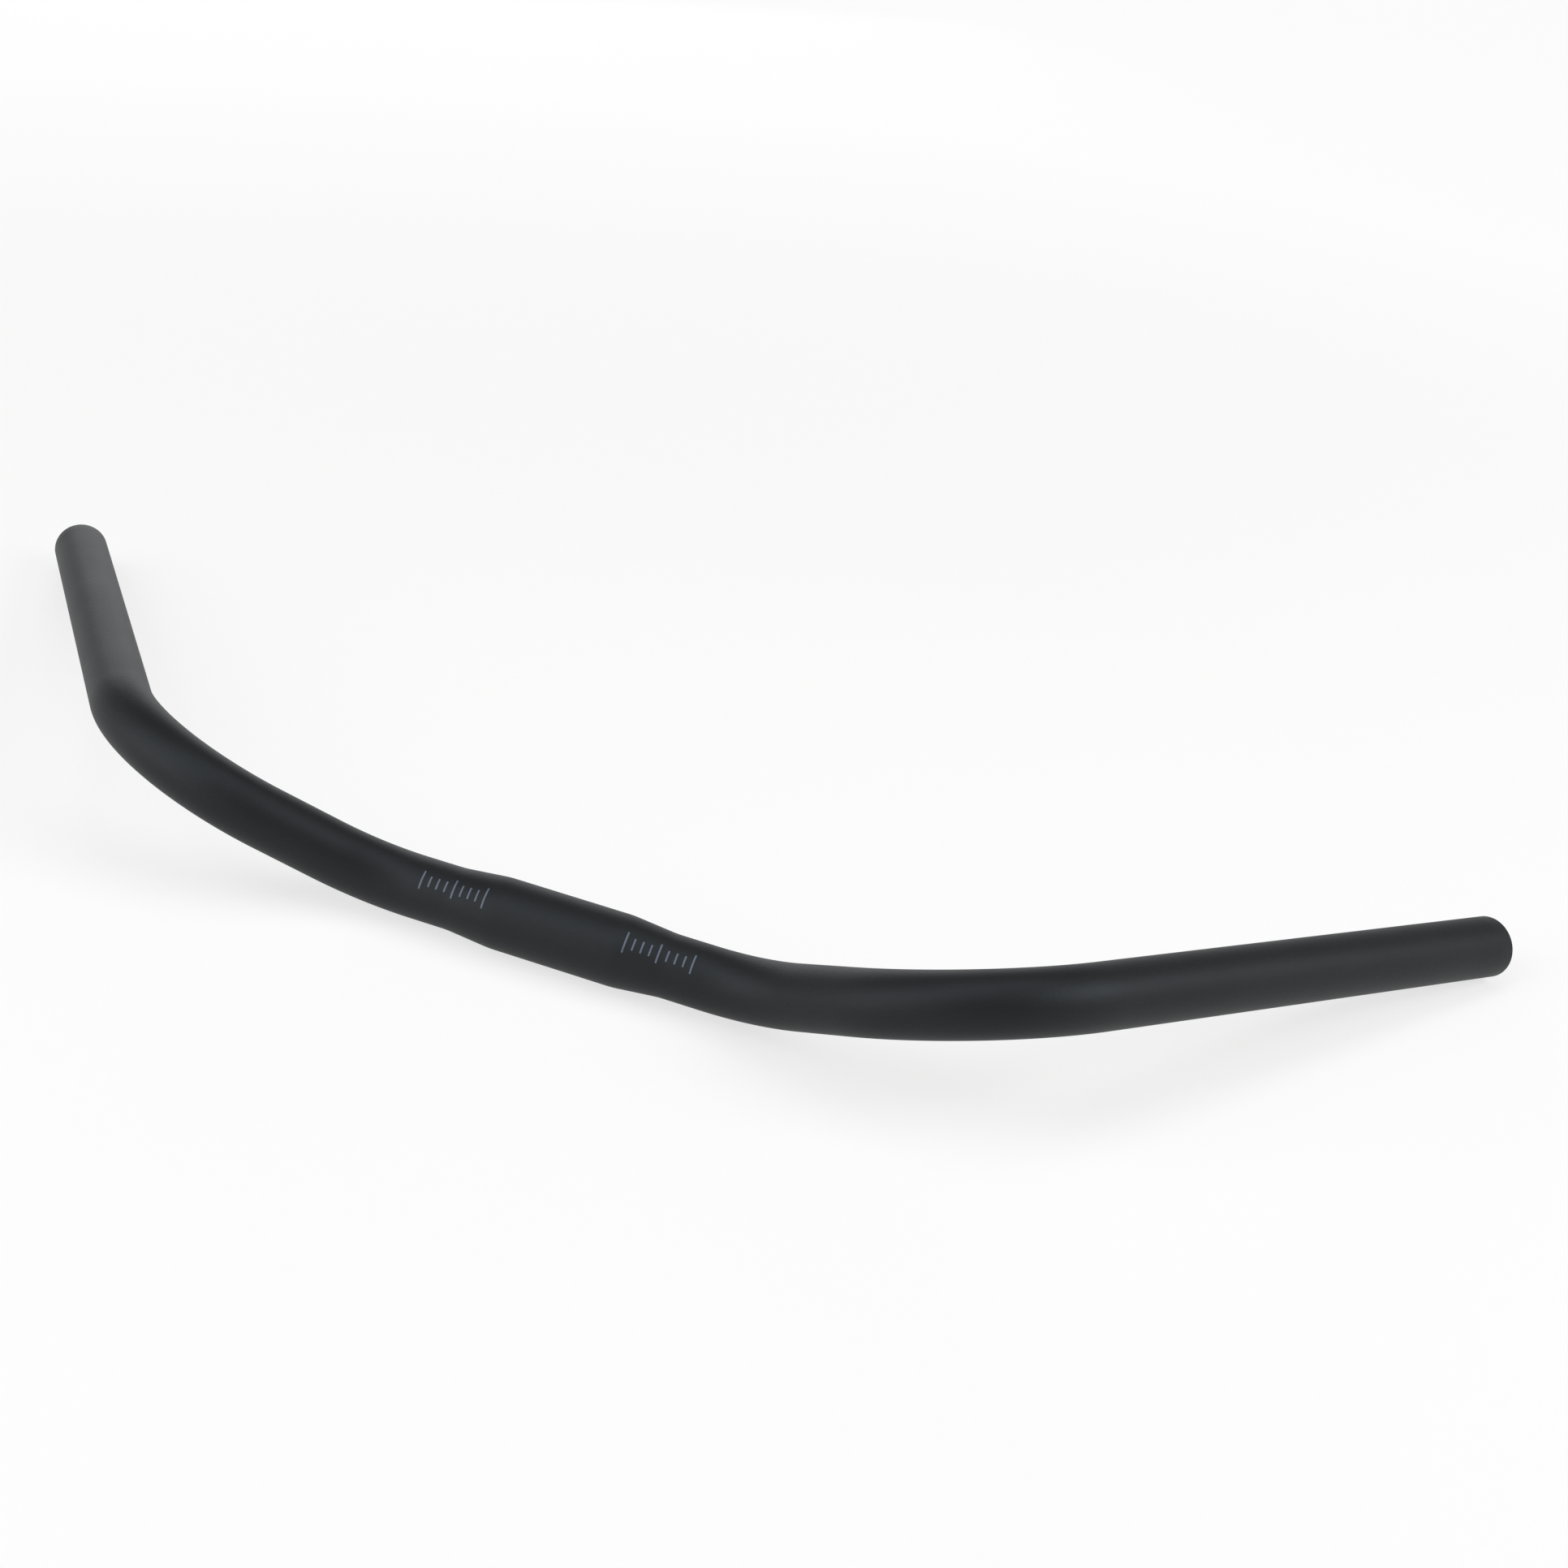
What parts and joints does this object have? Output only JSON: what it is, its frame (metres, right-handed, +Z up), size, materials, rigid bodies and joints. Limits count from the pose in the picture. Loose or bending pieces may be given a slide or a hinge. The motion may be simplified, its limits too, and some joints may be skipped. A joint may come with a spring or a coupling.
{
  "type": "trekking handlebar",
  "caption": "Trekking handlebar: a satin black steel tube, bulged at the stem clamp, rising at each side and swept back into straight grips with open ends.",
  "frame": {"origin": "on the tube's axis in the middle of the stem clamp", "axes": "+X along the clamp to the rider's left, +Y back to the rider, +Z up as the bar lies at rest on the underside of its clamp and on its ends"},
  "size_m": [0.6198, 0.1973, 0.0575],
  "materials": {
    "satin_black_coat": "satin black powder coat with a fine, slightly uneven surface"
  },
  "bodies": {
    "root": {"handlebar_tube": "satin_black_coat"}
  },
  "joints": []
}
